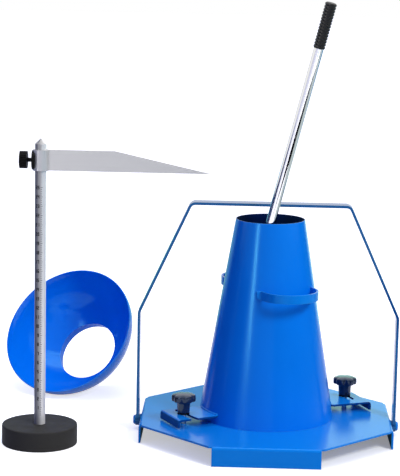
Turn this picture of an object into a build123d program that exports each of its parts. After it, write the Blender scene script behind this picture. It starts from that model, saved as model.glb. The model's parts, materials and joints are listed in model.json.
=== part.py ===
from build123d import *

import os
from math import acos, asin, atan2, cos, degrees, hypot, radians, sin, sqrt, tan

os.makedirs("parts", exist_ok=True)

# Slump test kit: a mould cone clamped on an octagonal base with a swinging bail, a tamping rod that
# leans in its mouth, a height gauge and a filling funnel, all standing or lying on one floor.
# The origin is on the floor under the cone's axis. +X is to the right, +Y away from the viewer, +Z up.

# Clearances
running_gap = 0.06  # on the radius, where a round piece turns or slides on another
side_gap = 0.1  # beside a strap that swings between flat faces
passing_gap = 0.3  # under an edge that travels over a face

# Base plate: an octagonal sheet, with four of its sides folded down to the floor
plate_across_flats = 377.0
plate_height = 28.5
plate_gauge = 3.0
plate_bend = 1.5  # inside radius of the fold
plate_sides = 8

# Mould cone
cone_height = 300.0
cone_mouth_bore = 100.0
cone_bottom_bore = 200.0
cone_gauge = 1.6

# Half-round strip handles on the cone, a quarter turn from its foot plates
handle_radius = 44.0
handle_gauge = 3.0
handle_width = 13.0
handle_level = 196.5
handle_set_in = 8.0
handle_tab = 5.0  # beyond the strip, where its ends are turned out along the wall
handle_tab_corner = 4.0

# Foot plates on the cone, with a slot that leaves the stud when the cone is twisted clockwise
foot_azimuth = 28.0
foot_overhang = 23.0  # from the stud's axis to the folded end
foot_width = 62.0
foot_gauge = 3.0
foot_rise = 14.5
foot_bend = 1.5  # inside radius of the fold
foot_corner = 5.0
foot_clear = 2.0  # from the fold's lower edge to the base
right_foot_lag = 6.0  # degrees that the right foot lies clockwise of its stud
slot_width = 11.0
slot_overrun = 20.0

# Clamp studs and knobs
stud_offset = 37.4  # from the foot of the cone's wall to the stud's axis
stud_diameter = 8.0
stud_engagement = 15.0
stud_point = 1.0
stud_head_diameter = 18.0
stud_head_thickness = 3.0
washer_diameter = 18.0
washer_thickness = 1.6
washer_slack = 0.4
knob_diameter = 36.0
knob_cap = 8.5
knob_crown = 2.5
knob_crown_flat = 14.0
knob_neck_diameter = 20.0
knob_neck_taper = 1.5  # that its foot is smaller in radius
knob_neck = 18.0
knob_lobes = 6
knob_scallop = 6.0
knob_scallop_depth = 4.0
knob_lobe_round = 2.0
knob_root = 2.5
insert_diameter = 12.0
insert_length = 12.0
stud_end_room = 3.0

# Bail: a flat strap that swings on two bolts through the side flanges
strap_width = 25.0
strap_gauge = 4.0
bail_headroom = 20.0
bail_knee_height = 155.0
bail_top_width = 236.0
bail_bend = 9.0
bush_diameter = 17.0
bush_length = 7.0
bush_weld = 3.5  # how far the strap's end reaches down over its bush
pivot_diameter = 8.0
pivot_head_diameter = 14.0
pivot_head_height = 3.4
pivot_head_bevel = 1.6
pivot_end = 1.5
spacer_diameter = 18.0
spacer_thickness = 2.0
nut_across_flats = 13.0
nut_thickness = 6.5

# Tamping rod, leaning on the front of the mouth
rod_diameter = 14.0
rod_length = 645.0
rod_tip_x = -70.5
rod_tip_y = 0.0
rod_rim_azimuth = -91.0
rod_rim_gap = 1.2
grip_diameter = 17.0
grip_length = 65.0
grip_end = 3.0
grip_bevel = 1.5
grip_groove = 0.7
grip_grooves = 14

# Height gauge
gauge_x = -334.0
gauge_y = -88.0
gauge_base_diameter = 111.0
gauge_base_height = 29.0
gauge_base_bevel = 2.5
column_diameter = 16.4
column_height = 451.5
column_tip = 8.0
column_socket = 18.0
base_screw_diameter = 8.0
base_screw_head_diameter = 13.0
base_screw_head_height = 8.0
base_screw_grip = 14.0
slider_diameter = 22.5
slider_height = 30.0
slider_drop = 46.5  # from the tip of the column to the slider's lower end
blade_length = 245.5
blade_shoulder = 107.0
blade_thickness = 2.0
blade_groove = 1.5
lock_screw_diameter = 6.0
lock_disc_diameter = 28.0
lock_disc_thickness = 4.5
lock_disc_lap = 3.5
lock_neck = 7.0
lock_knob_diameter = 25.0
lock_knob_length = 11.0
lock_knob_flutes = 20
lock_knob_flute = 1.0
lock_knob_cap = 2.5

# Filling funnel: a spun bowl, upright at its mouth and round below, and a collar over the cone's mouth
funnel_gap = 16.4  # between the funnel's mouth and the swing of the bail
funnel_y = 222.0
funnel_azimuth = -116.0
funnel_mouth_diameter = 222.0
funnel_depth = 80.0  # from the mouth to the throat
funnel_shoulder = 55.0  # radius of the wall's upper round
funnel_gauge = 1.6
collar_fit = 1.4  # on the radius, round the outside of the cone's mouth
collar_gauge = 1.6
collar_length = 16.0
collar_seat = 2.0  # from the throat to where the collar flares out to the bowl
collar_flare = 14.0

# Levels and places that follow from these sizes
half_flats = plate_across_flats / 2
side_length = plate_across_flats * tan(radians(180 / plate_sides))
plate_underside = plate_height - plate_gauge
plate_fold = plate_bend + plate_gauge
flange_inside = half_flats - plate_gauge
handle_azimuth = foot_azimuth - 90
stud_circle = cone_bottom_bore / 2 + cone_gauge + stud_offset
foot_reach = stud_circle + foot_overhang
foot_fold = foot_bend + foot_gauge
foot_top = plate_height + foot_rise
washer_seat = foot_top + passing_gap
washer_top = washer_seat + washer_thickness
knob_cap_bottom = washer_top + knob_neck
knob_cap_top = knob_cap_bottom + knob_cap
stud_top = washer_top + stud_engagement
pivot_height = plate_height / 2
bush_inside = half_flats + spacer_thickness + side_gap
bush_outside = bush_inside + bush_length
strap_middle = bush_inside + bush_length / 2


def keep(piece, name):
    """Name a finished piece and write it to its own file."""
    piece.part.label = name
    export_step(piece.part, f"parts/{name}.step")


def cone_outside(height):
    """Outside radius of the cone's wall at a height above the base plate."""
    taper = (cone_bottom_bore - cone_mouth_bore) / cone_height
    return (cone_bottom_bore - taper * height) / 2 + cone_gauge


def turned(azimuth, height=0.0):
    """Level plane about the cone's axis, its local x along the azimuth."""
    turn = radians(azimuth)
    return Plane(origin=(0, 0, height), x_dir=(cos(turn), sin(turn), 0), z_dir=(0, 0, 1))


def upright(azimuth, x=0.0, y=0.0):
    """Vertical plane through a point of the floor, its local x along the azimuth and local y up."""
    turn = radians(azimuth)
    return Plane(
        origin=(x, y, 0), x_dir=(cos(turn), sin(turn), 0), z_dir=(sin(turn), -cos(turn), 0)
    )


def facing(azimuth, height):
    """Vertical plane through the cone's axis, its local z along the azimuth and local y up."""
    turn = radians(azimuth)
    return Plane(
        origin=(0, 0, height), x_dir=(-sin(turn), cos(turn), 0), z_dir=(cos(turn), sin(turn), 0)
    )


def cut_to_cone():
    """Cut the piece in hand back to the outside of the cone's wall."""
    with Locations((0, 0, plate_height)):
        Cone(
            cone_outside(0),
            cone_outside(cone_height),
            cone_height,
            align=(Align.CENTER, Align.CENTER, Align.MIN),
            mode=Mode.SUBTRACT,
        )


# Base plate
with BuildPart() as base_plate:
    with BuildSketch(Plane.XY.offset(plate_underside)):
        RegularPolygon(half_flats, plate_sides, major_radius=False, rotation=180 / plate_sides)
        Rectangle(
            plate_across_flats - 2 * plate_fold,
            plate_across_flats - 2 * plate_fold,
            mode=Mode.INTERSECT,
        )
    extrude(amount=plate_gauge)
    with BuildSketch(*[upright(azimuth) for azimuth in (0, 90, 180, 270)]):
        with BuildLine():
            fold = JernArc(
                (half_flats - plate_fold, plate_height - plate_gauge / 2),
                (1, 0),
                plate_fold - plate_gauge / 2,
                -90,
            )
            Line(fold @ 1, (half_flats - plate_gauge / 2, 0))
        trace(line_width=plate_gauge)
    extrude(amount=side_length / 2, both=True)
    with BuildSketch(turned(foot_azimuth, plate_height)):
        with PolarLocations(stud_circle, 2):
            Circle(stud_diameter / 2)
    extrude(amount=-plate_gauge, mode=Mode.SUBTRACT)
    with Locations(Location((half_flats, 0, pivot_height), (0, 90, 0))):
        Hole(pivot_diameter / 2)
keep(base_plate, "base_plate")


# Pivot bolts, spacers and nuts of the bail, one set in each side flange
with BuildPart() as bail_bolts:
    with BuildSketch(Plane.YZ.offset(flange_inside - nut_thickness - pivot_end)):
        with Locations((0, pivot_height)):
            Circle(pivot_diameter / 2)
    extrude(amount=bush_outside + side_gap - flange_inside + nut_thickness + pivot_end)
    with BuildSketch(Plane.YZ.offset(bush_outside + side_gap)):
        with Locations((0, pivot_height)):
            Circle(pivot_head_diameter / 2)
    extrude(amount=pivot_head_height)
    chamfer(bail_bolts.edges().group_by(Axis.X)[-1], length=pivot_head_bevel)
    mirror(about=Plane.YZ)
keep(bail_bolts, "bail_bolts")

with BuildPart() as bail_spacers:
    with BuildSketch(Plane.YZ.offset(half_flats)):
        with Locations((0, pivot_height)):
            Circle(spacer_diameter / 2)
            Circle(pivot_diameter / 2, mode=Mode.SUBTRACT)
    extrude(amount=spacer_thickness)
    mirror(about=Plane.YZ)
keep(bail_spacers, "bail_spacers")

with BuildPart() as bail_nuts:
    with BuildSketch(Plane.YZ.offset(flange_inside - nut_thickness)):
        with Locations((0, pivot_height)):
            RegularPolygon(nut_across_flats / 2, 6, major_radius=False)
            Circle(pivot_diameter / 2, mode=Mode.SUBTRACT)
    extrude(amount=nut_thickness)
    mirror(about=Plane.YZ)
keep(bail_nuts, "bail_nuts")


# Bail strap, bent to shape on its flat, with a bush welded to each end
with BuildPart() as bail_strap:
    strap_end = pivot_height + bush_diameter / 2 - bush_weld
    knee = plate_height + bail_knee_height
    crown = plate_height + cone_height + bail_headroom + strap_gauge / 2
    with BuildSketch(Plane.XZ):
        with BuildLine():
            FilletPolyline(
                (-strap_middle, strap_end),
                (-strap_middle, knee),
                (-bail_top_width / 2, crown),
                (bail_top_width / 2, crown),
                (strap_middle, knee),
                (strap_middle, strap_end),
                radius=bail_bend,
            )
        trace(line_width=strap_gauge)
    extrude(amount=strap_width / 2, both=True)
    for inside in (bush_inside, -bush_outside):
        with BuildSketch(Plane.YZ.offset(inside)):
            with Locations((0, pivot_height)):
                Circle(bush_diameter / 2)
        extrude(amount=bush_length)
    with Locations(Location((bush_outside, 0, pivot_height), (0, 90, 0))):
        Hole(pivot_diameter / 2 + running_gap)
keep(bail_strap, "bail_strap")


# Cone shell, standing on the plate
with BuildPart() as cone_shell:
    with BuildSketch(Plane.XZ):
        with BuildLine():
            Polyline(
                (cone_bottom_bore / 2, plate_height),
                (cone_outside(0), plate_height),
                (cone_outside(cone_height), plate_height + cone_height),
                (cone_mouth_bore / 2, plate_height + cone_height),
                close=True,
            )
        make_face()
    revolve(axis=Axis.Z)
keep(cone_shell, "cone_shell")


def make_handle(name, azimuth):
    """Half-round strip handle, its ends turned out as tabs along the cone's wall."""
    wall = cone_outside(handle_level)
    centre = wall - handle_set_in
    bottom = plate_height + handle_level - handle_width / 2
    spread = acos((wall**2 + centre**2 - handle_radius**2) / (2 * wall * centre))
    with BuildPart() as tabs:
        with Locations((0, 0, plate_height)):
            Cone(
                cone_outside(0) + handle_gauge,
                cone_outside(cone_height) + handle_gauge,
                cone_height,
                align=(Align.CENTER, Align.CENTER, Align.MIN),
            )
        with BuildSketch(facing(azimuth, plate_height + handle_level)):
            RectangleRounded(
                2 * (wall * sin(spread) + handle_tab), handle_width, handle_tab_corner
            )
        extrude(amount=cone_bottom_bore, mode=Mode.INTERSECT)
        with BuildSketch(turned(azimuth, bottom)):
            with Locations((centre, 0)):
                Circle(handle_radius - handle_gauge / 2)
        extrude(amount=handle_width, mode=Mode.SUBTRACT)
    with BuildPart() as handle:
        with BuildSketch(turned(azimuth, bottom)):
            with Locations((centre, 0)):
                Circle(handle_radius)
                Circle(handle_radius - handle_gauge, mode=Mode.SUBTRACT)
        extrude(amount=handle_width)
        add(tabs.part)
        cut_to_cone()
    keep(handle, name)


make_handle("cone_handle_front", handle_azimuth)
make_handle("cone_handle_rear", handle_azimuth + 180)


def make_foot(name, stud_azimuth, lag):
    """Foot plate with its outer end folded down, cut to the cone's wall and slotted round the axis."""
    azimuth = stud_azimuth - lag
    root = sqrt(cone_outside(foot_rise) ** 2 - (foot_width / 2) ** 2) - cone_gauge
    corner = sqrt(cone_outside(foot_rise) ** 2 - (foot_width / 2 - foot_corner) ** 2)
    middle = foot_top - foot_gauge / 2
    slot_start = degrees(asin(slot_overrun / stud_circle))
    slot_end = degrees(asin((foot_width / 2 + slot_width) / stud_circle))
    with BuildPart() as foot:
        with BuildSketch(upright(azimuth)):
            with BuildLine():
                flat = Line((root, middle), (foot_reach - foot_fold, middle))
                fold = JernArc(flat @ 1, (1, 0), foot_fold - foot_gauge / 2, -90)
                Line(fold @ 1, (foot_reach - foot_gauge / 2, plate_height + foot_clear))
            trace(line_width=foot_gauge)
        extrude(amount=foot_width / 2, both=True)
        with BuildSketch(turned(azimuth, plate_height)):
            with Locations((corner, 0)):
                Rectangle(foot_reach - corner, foot_width, align=(Align.MIN, Align.CENTER))
            fillet(vertices().group_by(Axis.X)[0], radius=foot_corner)
        extrude(amount=foot_rise, mode=Mode.INTERSECT)
        cut_to_cone()
        with BuildSketch(turned(stud_azimuth, foot_top)):
            with BuildLine():
                slot_line = CenterArc((0, 0), stud_circle, -slot_start, slot_start + slot_end)
            trace(line_width=slot_width)
            with Locations(slot_line @ 0):
                Circle(slot_width / 2)
        extrude(amount=-foot_gauge, mode=Mode.SUBTRACT)
    keep(foot, name)


def make_stud(name, azimuth):
    """Clamp stud, its round head under the plate."""
    with BuildPart() as stud:
        with BuildSketch(turned(azimuth, plate_underside)):
            with Locations((stud_circle, 0)):
                Circle(stud_head_diameter / 2)
        extrude(amount=-stud_head_thickness)
        with BuildSketch(turned(azimuth, plate_underside)):
            with Locations((stud_circle, 0)):
                Circle(stud_diameter / 2)
        extrude(amount=stud_top - plate_underside)
        chamfer(stud.edges().group_by(Axis.Z)[-1], length=stud_point)
    keep(stud, name)


def make_ring(name, azimuth, bottom, outside, inside, height):
    """Plain ring round a clamp stud."""
    with BuildPart() as ring:
        with BuildSketch(turned(azimuth, bottom)):
            with Locations((stud_circle, 0)):
                Circle(outside)
                Circle(inside, mode=Mode.SUBTRACT)
        extrude(amount=height)
    keep(ring, name)


def make_knob(name, azimuth):
    """Lobed clamp knob with a raised crown, moulded round its insert."""
    turn = radians(azimuth)
    x = stud_circle * cos(turn)
    y = stud_circle * sin(turn)
    stud_axis = Axis((x, y, 0), (0, 0, 1))
    cap_radius = knob_diameter / 2
    neck_radius = knob_neck_diameter / 2
    scallop_circle = cap_radius + knob_scallop - knob_scallop_depth
    with BuildPart() as knob:
        with BuildSketch(upright(azimuth, x, y)):
            with BuildLine():
                Polyline(
                    (0, knob_cap_bottom),
                    (cap_radius, knob_cap_bottom),
                    (cap_radius, knob_cap_top),
                    (knob_crown_flat / 2, knob_cap_top + knob_crown),
                    (0, knob_cap_top + knob_crown),
                    close=True,
                )
            make_face()
        revolve(axis=stud_axis)
        with BuildSketch(turned(azimuth, knob_cap_bottom)):
            with Locations((stud_circle, 0)):
                Circle(cap_radius)
                with PolarLocations(scallop_circle, knob_lobes):
                    Circle(knob_scallop, mode=Mode.SUBTRACT)
            fillet(vertices(), radius=knob_lobe_round)
        extrude(amount=knob_cap + knob_crown, mode=Mode.INTERSECT)
        with BuildSketch(upright(azimuth, x, y)):
            with BuildLine():
                Polyline(
                    (0, knob_cap_bottom),
                    (0, washer_top),
                    (neck_radius - knob_neck_taper, washer_top),
                    (neck_radius, knob_cap_bottom - knob_root),
                    (neck_radius + knob_root, knob_cap_bottom),
                    close=True,
                )
            make_face()
        revolve(axis=stud_axis)
        with BuildSketch(Plane(origin=(x, y, washer_top))):
            Circle(insert_diameter / 2)
        extrude(amount=insert_length, mode=Mode.SUBTRACT)
        with BuildSketch(Plane(origin=(x, y, washer_top))):
            Circle(stud_diameter / 2 + washer_slack)
        extrude(amount=stud_engagement + stud_end_room, mode=Mode.SUBTRACT)
    keep(knob, name)


make_foot("cone_foot_right", foot_azimuth, right_foot_lag)
make_foot("cone_foot_left", foot_azimuth + 180, 0)

for side, azimuth in (("right", foot_azimuth), ("left", foot_azimuth + 180)):
    make_stud(f"clamp_stud_{side}", azimuth)
    make_ring(
        f"clamp_washer_{side}",
        azimuth,
        washer_seat,
        washer_diameter / 2,
        stud_diameter / 2 + washer_slack,
        washer_thickness,
    )
    make_ring(
        f"clamp_insert_{side}",
        azimuth,
        washer_top,
        insert_diameter / 2,
        stud_diameter / 2 + running_gap,
        insert_length,
    )
    make_knob(f"clamp_knob_{side}", azimuth)


# Tamping rod: its round end stands on the plate, and its bar leans on the front of the mouth
rod_radius = rod_diameter / 2
rod_foot = Vector(rod_tip_x, rod_tip_y, plate_height + passing_gap + rod_radius)
rod_rim = cone_mouth_bore / 2 - rod_rim_gap - rod_radius
rod_rest = Vector(
    rod_rim * cos(radians(rod_rim_azimuth)),
    rod_rim * sin(radians(rod_rim_azimuth)),
    plate_height + cone_height,
)
rod_along = (rod_rest - rod_foot).normalized()
rod_across = Vector(0, 0, 1).cross(rod_along).normalized()
rod_plane = Plane(origin=rod_foot, x_dir=rod_across, z_dir=rod_across.cross(rod_along))
rod_axis = Axis(rod_foot, rod_along)
grip_top = rod_length - rod_radius
grip_bottom = grip_top - grip_length
groove_pitch = grip_length / (grip_grooves + 1)
bar_top = grip_top - grip_end

with BuildPart() as rod_bar:
    with BuildSketch(rod_plane):
        with BuildLine():
            tip = JernArc((0, -rod_radius), (1, 0), rod_radius, 90)
            Polyline(tip @ 1, (rod_radius, bar_top), (0, bar_top), tip @ 0)
        make_face()
    revolve(axis=rod_axis)
keep(rod_bar, "rod_bar")

with BuildPart() as rod_grip:
    with BuildSketch(rod_plane):
        with BuildLine():
            Polyline(
                (rod_radius, grip_bottom),
                (grip_diameter / 2, grip_bottom),
                (grip_diameter / 2, grip_top - grip_bevel),
                (grip_diameter / 2 - grip_bevel, grip_top),
                (0, grip_top),
                (0, bar_top),
                (rod_radius, bar_top),
                close=True,
            )
        make_face()
        with Locations(
            *[(grip_diameter / 2, grip_bottom + groove_pitch * (n + 1)) for n in range(grip_grooves)]
        ):
            RegularPolygon(grip_groove, 4, mode=Mode.SUBTRACT)
    revolve(axis=rod_axis)
keep(rod_grip, "rod_grip")


# Height gauge: heavy base, column and the screw that holds it from below
column_foot = gauge_base_height - column_socket
screw_seat = base_screw_head_height + passing_gap

with BuildPart() as gauge_base:
    with BuildSketch():
        with Locations((gauge_x, gauge_y)):
            Circle(gauge_base_diameter / 2)
    extrude(amount=gauge_base_height)
    chamfer(gauge_base.edges().group_by(Axis.Z)[-1], length=gauge_base_bevel)
    with Locations((gauge_x, gauge_y, gauge_base_height)):
        Hole(column_diameter / 2, depth=column_socket)
    with Locations(Plane(origin=(gauge_x, gauge_y, 0), z_dir=(0, 0, -1))):
        CounterBoreHole(
            base_screw_diameter / 2,
            base_screw_head_diameter / 2,
            screw_seat,
            depth=column_foot,
        )
keep(gauge_base, "gauge_base")

with BuildPart() as gauge_column:
    with BuildSketch(upright(0, gauge_x, gauge_y)):
        with BuildLine():
            Polyline(
                (0, column_foot),
                (column_diameter / 2, column_foot),
                (column_diameter / 2, column_height - column_tip),
                (0, column_height),
                close=True,
            )
        make_face()
    revolve(axis=Axis((gauge_x, gauge_y, 0), (0, 0, 1)))
    with Locations(Plane(origin=(gauge_x, gauge_y, column_foot), z_dir=(0, 0, -1))):
        Hole(base_screw_diameter / 2, depth=base_screw_grip)
keep(gauge_column, "gauge_column")

with BuildPart() as gauge_base_screw:
    with BuildSketch(Plane.XY.offset(screw_seat)):
        with Locations((gauge_x, gauge_y)):
            Circle(base_screw_head_diameter / 2)
    extrude(amount=-base_screw_head_height)
    with BuildSketch(Plane.XY.offset(screw_seat)):
        with Locations((gauge_x, gauge_y)):
            Circle(base_screw_diameter / 2)
    extrude(amount=column_foot + base_screw_grip - screw_seat)
keep(gauge_base_screw, "gauge_base_screw")


# Slider with its pointer blade, and the lock on its other side
sleeve_radius = slider_diameter / 2
slider_level = column_height - slider_drop
lock_level = slider_level + slider_height / 2
lock_tip = gauge_x - column_diameter / 2 - side_gap
disc_inside = gauge_x - sleeve_radius + lock_disc_lap
disc_outside = disc_inside - lock_disc_thickness
lock_head = disc_outside - lock_neck
lock_plane = Plane(origin=(0, gauge_y, lock_level), x_dir=(0, 1, 0), z_dir=(1, 0, 0))

with BuildPart() as gauge_slider:
    with BuildSketch(Plane.XY.offset(slider_level)):
        with Locations((gauge_x, gauge_y)):
            Circle(sleeve_radius)
            Circle(column_diameter / 2 + running_gap, mode=Mode.SUBTRACT)
        with Locations((gauge_x + sleeve_radius, gauge_y)):
            Rectangle(2 * blade_groove, blade_thickness, mode=Mode.SUBTRACT)
    extrude(amount=slider_height)
    with BuildSketch(lock_plane.offset(gauge_x - sleeve_radius)):
        Circle(lock_screw_diameter / 2 + running_gap)
    extrude(amount=sleeve_radius, mode=Mode.SUBTRACT)
keep(gauge_slider, "gauge_slider")

with BuildPart() as pointer_blade:
    with BuildSketch(upright(0, gauge_x, gauge_y)):
        with BuildLine():
            Polyline(
                (sleeve_radius - blade_groove, slider_level),
                (blade_length, slider_level),
                (blade_shoulder, slider_level + slider_height),
                (sleeve_radius - blade_groove, slider_level + slider_height),
                close=True,
            )
        make_face()
    extrude(amount=blade_thickness / 2, both=True)
keep(pointer_blade, "pointer_blade")

with BuildPart() as lock_disc:
    with BuildSketch(lock_plane.offset(disc_outside)):
        Circle(lock_disc_diameter / 2)
        Circle(lock_screw_diameter / 2 + running_gap, mode=Mode.SUBTRACT)
    extrude(amount=lock_disc_thickness)
    with BuildSketch(Plane.XY.offset(slider_level)):
        with Locations((gauge_x, gauge_y)):
            Circle(sleeve_radius + passing_gap)
    extrude(amount=slider_height, mode=Mode.SUBTRACT)
keep(lock_disc, "lock_disc")

with BuildPart() as lock_screw:
    with BuildSketch(lock_plane.offset(lock_head - lock_knob_length + lock_knob_cap)):
        Circle(lock_screw_diameter / 2)
    extrude(amount=lock_tip - lock_head + lock_knob_length - lock_knob_cap)
keep(lock_screw, "lock_screw")

with BuildPart() as lock_knob:
    with BuildSketch(lock_plane.offset(lock_head)):
        Circle(lock_knob_diameter / 2)
        with PolarLocations(lock_knob_diameter / 2, lock_knob_flutes):
            Circle(lock_knob_flute, mode=Mode.SUBTRACT)
    extrude(amount=-lock_knob_length)
    with BuildSketch(lock_plane.offset(lock_head)):
        Circle(lock_screw_diameter / 2)
    extrude(amount=lock_knob_cap - lock_knob_length, mode=Mode.SUBTRACT)
keep(lock_knob, "lock_knob")


# Funnel, lying on the round of its bowl and the end of its collar
# Its wall is a shoulder arc that leaves the mouth upright, and a sphere about the axis that runs on from it
mouth_radius = funnel_mouth_diameter / 2
throat_radius = cone_mouth_bore / 2
collar_bore = cone_mouth_bore + 2 * (cone_gauge + collar_fit)
collar_radius = collar_bore / 2 + collar_gauge
collar_end = funnel_depth + collar_length
collar_start = funnel_depth + collar_seat
collar_root = funnel_depth - collar_length / 2
collar_spread = (collar_start - collar_root) * tan(radians(collar_flare))
shoulder_centre = mouth_radius - funnel_shoulder
excess = throat_radius**2 + funnel_depth**2 - funnel_shoulder**2 - shoulder_centre**2
fall = 2 * shoulder_centre * funnel_depth
shoulder_angle = asin(2 * shoulder_centre * funnel_shoulder / hypot(excess, fall)) - atan2(excess, fall)
sphere_centre = -shoulder_centre * tan(shoulder_angle)
sphere_radius = funnel_shoulder + shoulder_centre / cos(shoulder_angle)
lip_reach = hypot(collar_radius, collar_end - sphere_centre)
funnel_lift = atan2(collar_end - sphere_centre, collar_radius) - acos(sphere_radius / lip_reach)
mouth_level = sphere_radius + sphere_centre * sin(funnel_lift)
mouth_centre = Vector(-bush_outside - funnel_gap - mouth_radius, funnel_y, mouth_level)
mouth_turn = radians(funnel_azimuth)
funnel_along = Vector(
    -cos(funnel_lift) * cos(mouth_turn), -cos(funnel_lift) * sin(mouth_turn), -sin(funnel_lift)
)
funnel_across = Vector(-sin(mouth_turn), cos(mouth_turn), 0)
funnel_plane = Plane(
    origin=mouth_centre, x_dir=funnel_across, z_dir=funnel_across.cross(funnel_along)
)
funnel_axis = Axis(mouth_centre, funnel_along)


def bowl_line(inset):
    """Draw the bowl's wall from its mouth to its throat, set in by a part of the wall."""
    shoulder = CenterArc(
        (shoulder_centre, 0), funnel_shoulder - inset, 0, degrees(shoulder_angle)
    )
    throat_angle = acos(throat_radius / (sphere_radius - inset))
    sphere = CenterArc(
        (0, sphere_centre),
        sphere_radius - inset,
        degrees(shoulder_angle),
        degrees(throat_angle - shoulder_angle),
    )
    return shoulder @ 0, sphere @ 1


with BuildPart() as funnel_bowl:
    with BuildSketch(funnel_plane):
        with BuildLine():
            outer_mouth, outer_throat = bowl_line(0)
            inner_mouth, inner_throat = bowl_line(funnel_gauge)
            Line(outer_mouth, inner_mouth)
            Line(outer_throat, inner_throat)
        make_face()
    revolve(axis=funnel_axis)
keep(funnel_bowl, "funnel_bowl")

with BuildPart() as funnel_collar:
    with BuildSketch(funnel_plane):
        with BuildLine():
            Polyline(
                (collar_bore / 2 + collar_spread, collar_root),
                (collar_radius + collar_spread, collar_root),
                (collar_radius, collar_start),
                (collar_radius, collar_end),
                (collar_bore / 2, collar_end),
                (collar_bore / 2, collar_start),
                close=True,
            )
        make_face()
        with BuildLine():
            mouth, throat = bowl_line(0)
            Polyline(throat, (0, throat.Y), (0, 0), mouth)
        make_face(mode=Mode.SUBTRACT)
    revolve(axis=funnel_axis)
keep(funnel_collar, "funnel_collar")
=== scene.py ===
import json
import math

import bpy
import numpy as np
from mathutils import Matrix, Vector


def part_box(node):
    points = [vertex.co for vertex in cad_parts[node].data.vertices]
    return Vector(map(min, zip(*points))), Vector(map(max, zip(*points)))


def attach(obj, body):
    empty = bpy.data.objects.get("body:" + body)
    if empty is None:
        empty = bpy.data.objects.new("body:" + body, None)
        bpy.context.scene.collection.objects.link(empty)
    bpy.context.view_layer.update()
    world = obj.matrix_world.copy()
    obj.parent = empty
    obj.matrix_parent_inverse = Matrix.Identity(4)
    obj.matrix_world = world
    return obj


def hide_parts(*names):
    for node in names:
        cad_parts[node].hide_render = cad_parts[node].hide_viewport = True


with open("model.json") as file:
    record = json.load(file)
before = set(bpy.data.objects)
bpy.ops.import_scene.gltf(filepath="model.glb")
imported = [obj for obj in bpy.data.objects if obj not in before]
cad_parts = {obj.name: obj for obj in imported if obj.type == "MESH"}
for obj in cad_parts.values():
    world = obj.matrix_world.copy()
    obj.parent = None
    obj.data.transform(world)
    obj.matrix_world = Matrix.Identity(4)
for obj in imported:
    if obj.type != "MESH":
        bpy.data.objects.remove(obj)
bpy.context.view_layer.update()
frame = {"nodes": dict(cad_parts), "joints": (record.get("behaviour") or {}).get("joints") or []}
nodes = frame["nodes"]
print("frame loaded:", len(nodes), "nodes")

mm = 0.001
floatKind = "NodeSocketFloat"
vectorKind = "NodeSocketVector"
# Sockets of the mix node by number, since their names repeat: two colours and their result, two
# values and theirs.
mixA = 6
mixB = 7
mixOut = 2
valueA = 2
valueB = 3
valueOut = 0
# Wall of the cone, in mm: outer radius at the floor, height over which it draws in by 1, and the
# depth under the outer face from which a point counts as inside, where shade is painted.
coneWall = {"foot": 106.35, "rise": 6.0, "skin": 0.8}


# Shader trees: a node with settings, a group with named sockets, a material with its main values.
def addNode(tree, kind, settings=None, values=None):
    node = tree.nodes.new(kind)
    for key, value in (settings or {}).items():
        setattr(node, key, value)
    for key, value in (values or {}).items():
        node.inputs[key].default_value = value
    return node


def newGroup(name, inputs, outputs):
    group = bpy.data.node_groups.new(name, "ShaderNodeTree")
    for label, kind, value in inputs:
        socket = group.interface.new_socket(name=label, in_out="INPUT", socket_type=kind)
        socket.default_value = value
    for label, kind in outputs:
        group.interface.new_socket(name=label, in_out="OUTPUT", socket_type=kind)
    return group, group.nodes.new("NodeGroupInput"), group.nodes.new("NodeGroupOutput")


def useGroup(tree, group, values=None):
    return addNode(tree, "ShaderNodeGroup", {"node_tree": group}, values)


def newMaterial(name, colour, metallic, roughness, specular=0.5):
    material = bpy.data.materials.new(name)
    material.use_nodes = True
    tree = material.node_tree
    shader = tree.nodes["Principled BSDF"]
    shader.inputs["Base Color"].default_value = (*colour, 1.0)
    shader.inputs["Metallic"].default_value = metallic
    shader.inputs["Roughness"].default_value = roughness
    shader.inputs["Specular IOR Level"].default_value = specular
    return material, tree, shader


def spreadNode(tree, low, high, fromLow=0.3, fromHigh=0.7):
    values = {"From Min": fromLow, "From Max": fromHigh, "To Min": low, "To Max": high}
    return addNode(tree, "ShaderNodeMapRange", None, values)


# Sprayed paint: a fine orange-peel height and a broad, faint unevenness of shade.
def makePeelGroup():
    group, start, end = newGroup(
        "paintPeel",
        [("Fineness", floatKind, 420.0), ("Breadth", floatKind, 14.0)],
        [("Height", floatKind), ("Shade", floatKind)],
    )
    place = addNode(group, "ShaderNodeTexCoord")
    fine = addNode(group, "ShaderNodeTexNoise", None, {"Detail": 1.0, "Roughness": 0.4})
    broad = addNode(group, "ShaderNodeTexNoise", None, {"Detail": 3.0, "Roughness": 0.55})
    group.links.new(place.outputs["Object"], fine.inputs["Vector"])
    group.links.new(place.outputs["Object"], broad.inputs["Vector"])
    group.links.new(start.outputs["Fineness"], fine.inputs["Scale"])
    group.links.new(start.outputs["Breadth"], broad.inputs["Scale"])
    group.links.new(fine.outputs["Fac"], end.inputs["Height"])
    group.links.new(broad.outputs["Fac"], end.inputs["Shade"])
    return group


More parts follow.
